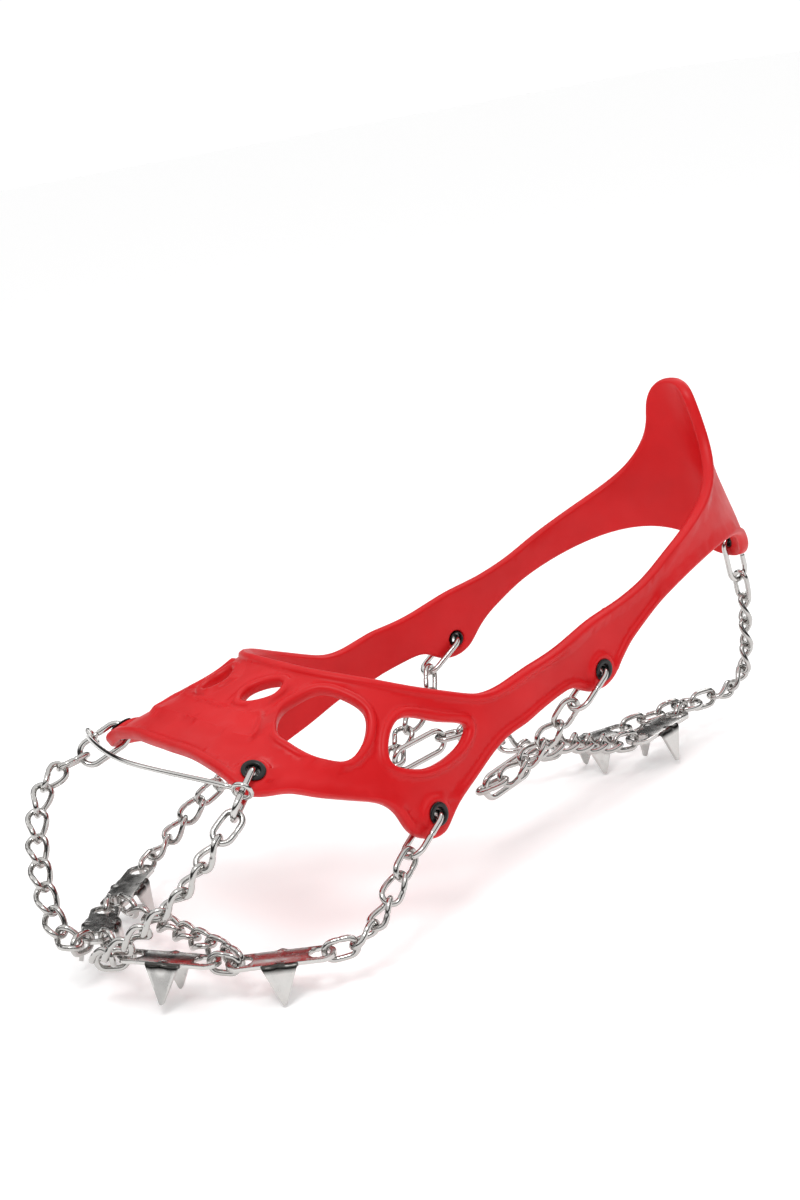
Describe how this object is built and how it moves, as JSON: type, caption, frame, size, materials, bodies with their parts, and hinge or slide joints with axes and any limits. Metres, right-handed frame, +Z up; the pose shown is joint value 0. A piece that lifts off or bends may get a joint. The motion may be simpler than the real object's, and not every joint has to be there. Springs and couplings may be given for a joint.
{
  "type": "shoe ice cleats",
  "caption": "Pull-on ice cleat: stretchy red harness with eyelets, rings and twisted chain that carry spiked steel plates under a boot.",
  "frame": {"origin": "in the plane of the boot's tread, on the centre line, midway between the ball and the heel", "axes": "+Y towards the heel, +X towards the wearer's left, +Z up; the plates carry the tread at Z = 0"},
  "size_m": [0.1245, 0.294, 0.1325],
  "materials": {
    "elastomer": "satin",
    "black_eyelet": "gloss",
    "polished_steel": "polished"
  },
  "bodies": {
    "harness_front": {"harness_front": "elastomer", "grommet_toe_left": "black_eyelet", "grommet_toe_right": "black_eyelet", "grommet_ball_left": "black_eyelet", "grommet_ball_right": "black_eyelet"},
    "harness_heel": {"harness_heel": "elastomer", "grommet_arch_left": "black_eyelet", "grommet_arch_right": "black_eyelet", "grommet_heel": "black_eyelet"},
    "toe_wire": {"toe_wire": "polished_steel"},
    "ring_toe_left": {"ring_toe_left": "polished_steel"},
    "ring_toe_right": {"ring_toe_right": "polished_steel"},
    "ring_ball_left": {"ring_ball_left": "polished_steel"},
    "ring_ball_right": {"ring_ball_right": "polished_steel"},
    "ring_arch_left": {"ring_arch_left": "polished_steel"},
    "ring_arch_right": {"ring_arch_right": "polished_steel"},
    "ring_heel": {"ring_heel": "polished_steel"},
    "chain_toe_left": {"chain_toe_left": "polished_steel"},
    "chain_link_left": {"chain_link_left": "polished_steel"},
    "chain_ball_left": {"chain_ball_left": "polished_steel"},
    "chain_arch_left": {"chain_arch_left": "polished_steel"},
    "chain_instep_left": {"chain_instep_left": "polished_steel"},
    "chain_toe_right": {"chain_toe_right": "polished_steel"},
    "chain_link_right": {"chain_link_right": "polished_steel"},
    "chain_ball_right": {"chain_ball_right": "polished_steel"},
    "chain_arch_right": {"chain_arch_right": "polished_steel"},
    "chain_instep_right": {"chain_instep_right": "polished_steel"},
    "chain_cross_front": {"chain_cross_front": "polished_steel"},
    "chain_cross_middle": {"chain_cross_middle": "polished_steel"},
    "chain_heel": {"chain_heel": "polished_steel"},
    "chain_heel_left": {"chain_heel_left": "polished_steel"},
    "chain_heel_right": {"chain_heel_right": "polished_steel"},
    "spike_plate_front_left": {"spike_plate_front_left": "polished_steel"},
    "spike_plate_front_right": {"spike_plate_front_right": "polished_steel"},
    "spike_plate_middle_left": {"spike_plate_middle_left": "polished_steel"},
    "spike_plate_middle_right": {"spike_plate_middle_right": "polished_steel"},
    "spike_plate_heel_left": {"spike_plate_heel_left": "polished_steel"},
    "spike_plate_heel_right": {"spike_plate_heel_right": "polished_steel"},
    "oval_link_left": {"oval_link_left": "polished_steel"},
    "oval_link_right": {"oval_link_right": "polished_steel"},
    "joining_ring": {"joining_ring": "polished_steel"}
  },
  "joints": [
    {"name": "heel_stretch", "type": "slide", "parent": "harness_front", "child": "harness_heel", "axis": [0, 1, 0], "range_m": [0, 0.03], "stiffness_N_per_m": 1500},
    {"name": "toe_wire_swing", "type": "hinge", "parent": "harness_front", "child": "toe_wire", "pos_m": [0, -0.09067, 0.05214], "axis": [1, 0, 0], "range_deg": [-20, 30]},
    {"name": "ring_toe_left_turn", "type": "hinge", "parent": "harness_front", "child": "ring_toe_left", "pos_m": [0.04478, -0.09555, 0.04606], "axis": [0.4443, -0.7896, -0.4232], "range_deg": [-5, 5]},
    {"name": "ring_toe_right_turn", "type": "hinge", "parent": "harness_front", "child": "ring_toe_right", "pos_m": [-0.04478, -0.09555, 0.04606], "axis": [-0.4443, -0.7896, -0.4232], "range_deg": [-5, 5]},
    {"name": "ring_ball_left_turn", "type": "hinge", "parent": "harness_front", "child": "ring_ball_left", "pos_m": [0.05383, -0.04513, 0.01691], "axis": [0.187, -0.8485, -0.4951], "range_deg": [-5, 5]},
    {"name": "ring_ball_right_turn", "type": "hinge", "parent": "harness_front", "child": "ring_ball_right", "pos_m": [-0.05383, -0.04513, 0.01691], "axis": [-0.187, -0.8485, -0.4951], "range_deg": [-5, 5]},
    {"name": "ring_arch_left_turn", "type": "hinge", "parent": "harness_heel", "child": "ring_arch_left", "pos_m": [0.03916, 0.03748, 0.03419], "axis": [0.0631, -0.8357, -0.5456], "range_deg": [-5, 5]},
    {"name": "ring_arch_right_turn", "type": "hinge", "parent": "harness_heel", "child": "ring_arch_right", "pos_m": [-0.03916, 0.03748, 0.03419], "axis": [-0.0631, -0.8357, -0.5456], "range_deg": [-5, 5]},
    {"name": "ring_heel_turn", "type": "hinge", "parent": "harness_heel", "child": "ring_heel", "pos_m": [0, 0.15639, 0.03972], "axis": [0, 0.1523, -0.9883], "range_deg": [-5, 5]},
    {"name": "chain_toe_left_roll", "type": "hinge", "parent": "harness_front", "child": "chain_toe_left", "pos_m": [0.04396, -0.09324, 0.04638], "axis": [-0.5374, -0.4433, -0.7174], "range_deg": [-4, 4]},
    {"name": "chain_link_left_roll", "type": "hinge", "parent": "harness_front", "child": "chain_link_left", "pos_m": [0.03094, -0.10462, 0.00066], "axis": [0.7746, 0.6148, -0.1486], "range_deg": [-4, 4]},
    {"name": "chain_ball_left_roll", "type": "hinge", "parent": "harness_front", "child": "chain_ball_left", "pos_m": [0.0536, -0.04309, 0.01811], "axis": [-0.0112, -0.8863, -0.463], "range_deg": [-4, 4]},
    {"name": "chain_arch_left_roll", "type": "hinge", "parent": "harness_heel", "child": "chain_arch_left", "pos_m": [0.03777, 0.03903, 0.03649], "axis": [-0.3586, -0.7511, -0.5543], "range_deg": [-4, 4]},
    {"name": "chain_instep_left_roll", "type": "hinge", "parent": "harness_heel", "child": "chain_instep_left", "pos_m": [0.02298, 0.0267, 0.0158], "axis": [-0.209, 0.9503, -0.2309], "range_deg": [-4, 4]},
    {"name": "chain_toe_right_roll", "type": "hinge", "parent": "harness_front", "child": "chain_toe_right", "pos_m": [-0.04473, -0.09328, 0.04682], "axis": [0.5437, -0.4376, -0.7162], "range_deg": [-4, 4]},
    {"name": "chain_link_right_roll", "type": "hinge", "parent": "harness_front", "child": "chain_link_right", "pos_m": [-0.03094, -0.10462, 0.00066], "axis": [-0.7746, 0.6148, -0.1486], "range_deg": [-4, 4]},
    {"name": "chain_ball_right_roll", "type": "hinge", "parent": "harness_front", "child": "chain_ball_right", "pos_m": [-0.0536, -0.04309, 0.01811], "axis": [0.0112, -0.8863, -0.463], "range_deg": [-4, 4]},
    {"name": "chain_arch_right_roll", "type": "hinge", "parent": "harness_heel", "child": "chain_arch_right", "pos_m": [-0.03777, 0.03903, 0.03649], "axis": [0.3586, -0.7511, -0.5543], "range_deg": [-4, 4]},
    {"name": "chain_instep_right_roll", "type": "hinge", "parent": "harness_heel", "child": "chain_instep_right", "pos_m": [-0.02289, 0.02668, 0.0158], "axis": [0.2219, 0.9149, -0.3373], "range_deg": [-4, 4]},
    {"name": "chain_cross_front_roll", "type": "hinge", "parent": "harness_front", "child": "chain_cross_front", "pos_m": [0.00998, -0.11778, 0.00262], "axis": [-1, 0, 0], "range_deg": [-4, 4]},
    {"name": "chain_cross_middle_roll", "type": "hinge", "parent": "harness_front", "child": "chain_cross_middle", "pos_m": [0.03641, -0.09696, -0.0007], "axis": [-1, 0, 0], "range_deg": [-4, 4]},
    {"name": "chain_heel_roll", "type": "hinge", "parent": "harness_heel", "child": "chain_heel", "pos_m": [0, 0.15664, 0.04228], "axis": [-0.039, -0.5709, -0.8201], "range_deg": [-4, 4]},
    {"name": "chain_heel_left_roll", "type": "hinge", "parent": "harness_heel", "child": "chain_heel_left", "pos_m": [-0.0003, 0.12267, 0.0002], "axis": [0.4252, -0.9032, 0.0588], "range_deg": [-4, 4]},
    {"name": "chain_heel_right_roll", "type": "hinge", "parent": "harness_heel", "child": "chain_heel_right", "pos_m": [-0.00356, 0.12256, 0.0002], "axis": [-0.1289, -0.9911, -0.0343], "range_deg": [-4, 4]},
    {"name": "spike_plate_front_left_rock", "type": "hinge", "parent": "harness_front", "child": "spike_plate_front_left", "pos_m": [0.01118, -0.11863, 0.00262], "axis": [0.8192, 0.568, -0.0798], "range_deg": [-5, 5]},
    {"name": "spike_plate_front_right_rock", "type": "hinge", "parent": "harness_front", "child": "spike_plate_front_right", "pos_m": [-0.01118, -0.11863, 0.00262], "axis": [-0.8192, 0.568, -0.0798], "range_deg": [-5, 5]},
    {"name": "spike_plate_middle_left_rock", "type": "hinge", "parent": "harness_front", "child": "spike_plate_middle_left", "pos_m": [0.03761, -0.09781, -0.0007], "axis": [0.6428, 0.766, 0], "range_deg": [-5, 5]},
    {"name": "spike_plate_middle_right_rock", "type": "hinge", "parent": "harness_front", "child": "spike_plate_middle_right", "pos_m": [-0.03761, -0.09781, -0.0007], "axis": [-0.6428, 0.766, 0], "range_deg": [-5, 5]},
    {"name": "spike_plate_heel_left_rock", "type": "hinge", "parent": "harness_heel", "child": "spike_plate_heel_left", "pos_m": [0.00939, 0.08975, 0.0008], "axis": [-0.2079, 0.9781, 0], "range_deg": [-5, 5]},
    {"name": "spike_plate_heel_right_rock", "type": "hinge", "parent": "harness_heel", "child": "spike_plate_heel_right", "pos_m": [-0.01189, 0.07275, -0.0007], "axis": [0.2079, 0.9781, 0], "range_deg": [-5, 5]},
    {"name": "oval_link_left_roll", "type": "hinge", "parent": "harness_heel", "child": "oval_link_left", "pos_m": [0.0242, 0.0085, 0.0128], "axis": [-0.0818, 0.9861, 0.1443], "range_deg": [-4, 4]},
    {"name": "oval_link_right_roll", "type": "hinge", "parent": "harness_heel", "child": "oval_link_right", "pos_m": [-0.0242, 0.0085, 0.0128], "axis": [0.0818, 0.9861, 0.1443], "range_deg": [-4, 4]},
    {"name": "joining_ring_tilt", "type": "hinge", "parent": "harness_heel", "child": "joining_ring", "pos_m": [-0.002, 0.1247, 0.0002], "axis": [0, 1, 0], "range_deg": [-4, 4]}
  ]
}
